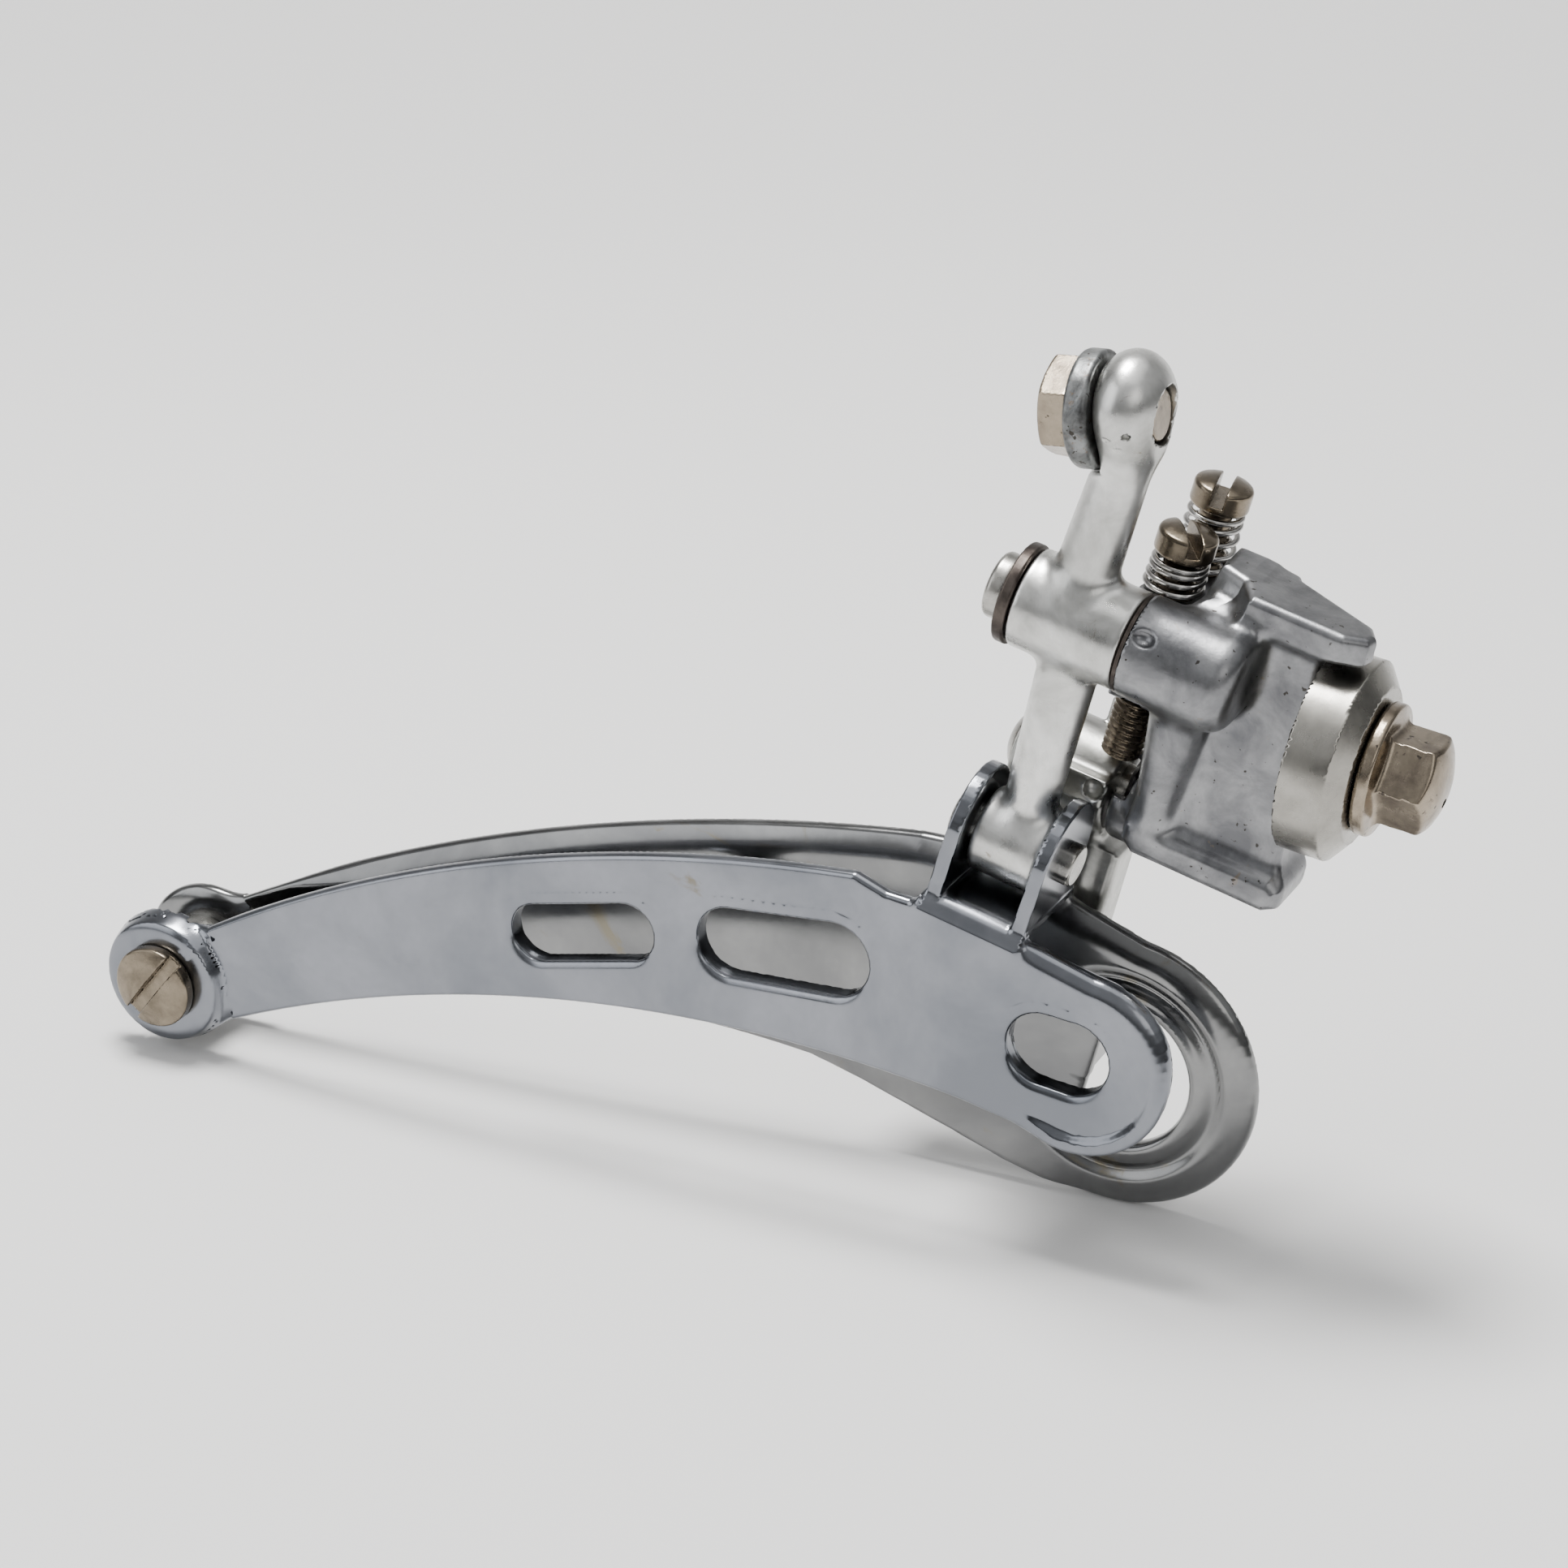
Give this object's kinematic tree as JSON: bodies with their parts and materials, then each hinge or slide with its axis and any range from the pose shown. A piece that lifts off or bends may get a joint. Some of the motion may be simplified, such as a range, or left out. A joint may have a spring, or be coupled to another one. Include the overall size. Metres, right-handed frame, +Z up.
{
  "type": "bicycle front derailleur",
  "caption": "Bicycle front derailleur: a sprung parallel linkage swings a long curved chain cage sideways below a bolt-on body.",
  "frame": {"origin": "centre of the body's flat mount face, where the mount bolt goes in", "axes": "+X forwards, +Y inboard towards the frame tube, +Z up, as the part stands on its cage on a table; the pivot pins dip 14.5 degrees towards +X"},
  "size_m": [0.1352, 0.0275, 0.0855],
  "materials": {
    "body": "dull forged alloy",
    "mount_bolt": "worn nickel plate",
    "mount_washer": "turned steel",
    "outer_link": "satin polished alloy",
    "outer_upper_pin": "bright steel",
    "outer_pin_washer": "dark grease-stained steel",
    "outer_thrust_washer": "dark grease-stained steel",
    "cable_bolt": "worn nickel plate",
    "cable_washer": "dark rough zinc plate",
    "inner_link": "satin alloy",
    "inner_upper_pin": "bright steel",
    "return_spring": "spring steel",
    "limit_screw_high": "bronze-tinted nickel plate",
    "limit_screw_low": "bronze-tinted nickel plate",
    "limit_spring_high": "bright spring steel",
    "limit_spring_low": "bright spring steel",
    "outer_cage_plate": "chromed steel with light tarnish",
    "inner_cage_plate": "chromed steel with light tarnish",
    "outer_lower_pin": "bright steel",
    "inner_lower_pin": "bright steel",
    "cage_screw": "bronze-tinted nickel plate",
    "cage_spacer": "plain steel"
  },
  "bodies": {
    "body": {"body": "body", "mount_bolt": "mount_bolt", "mount_washer": "mount_washer", "outer_upper_pin": "outer_upper_pin", "outer_pin_washer": "outer_pin_washer", "outer_thrust_washer": "outer_thrust_washer", "return_spring": "return_spring", "limit_spring_high": "limit_spring_high", "limit_spring_low": "limit_spring_low"},
    "outer_link": {"outer_link": "outer_link", "cable_bolt": "cable_bolt", "cable_washer": "cable_washer"},
    "cage": {"outer_cage_plate": "outer_cage_plate", "inner_cage_plate": "inner_cage_plate", "outer_lower_pin": "outer_lower_pin", "inner_lower_pin": "inner_lower_pin", "cage_screw": "cage_screw", "cage_spacer": "cage_spacer"},
    "inner_link": {"inner_link": "inner_link", "inner_upper_pin": "inner_upper_pin"},
    "limit_screw_high": {"limit_screw_high": "limit_screw_high"},
    "limit_screw_low": {"limit_screw_low": "limit_screw_low"}
  },
  "joints": [
    {"name": "outer_link_swing", "type": "hinge", "parent": "body", "child": "outer_link", "pos_m": [-0.02029, -0.006, 0.01082], "axis": [-0.9681, 0, 0.2504], "range_deg": [0, 30], "stiffness_Nm_per_rad": 0.25, "springref_deg": -45.84},
    {"name": "cage_swing", "type": "hinge", "parent": "outer_link", "child": "cage", "pos_m": [-0.02612, -0.0054, -0.01173], "axis": [-0.9681, 0, 0.2504], "range_deg": [-30, 0]},
    {"name": "inner_link_swing", "type": "hinge", "parent": "body", "child": "inner_link", "pos_m": [-0.02504, 0.0046, -0.00757], "axis": [-0.9681, 0, 0.2504], "range_deg": [0, 30]},
    {"name": "limit_screw_high_turn", "type": "hinge", "parent": "body", "child": "limit_screw_high", "pos_m": [-0.01327, 0.0012, 0.01521], "axis": [0.2504, 0, 0.9681], "range_deg": [-180, 180]},
    {"name": "limit_screw_low_turn", "type": "hinge", "parent": "body", "child": "limit_screw_low", "pos_m": [-0.01327, 0.008, 0.01521], "axis": [0.2504, 0, 0.9681], "range_deg": [-180, 180]}
  ],
  "couplings": [
    {"joint": "cage_swing", "follows": "outer_link_swing", "ratio": -1},
    {"joint": "inner_link_swing", "follows": "outer_link_swing", "ratio": 1}
  ]
}
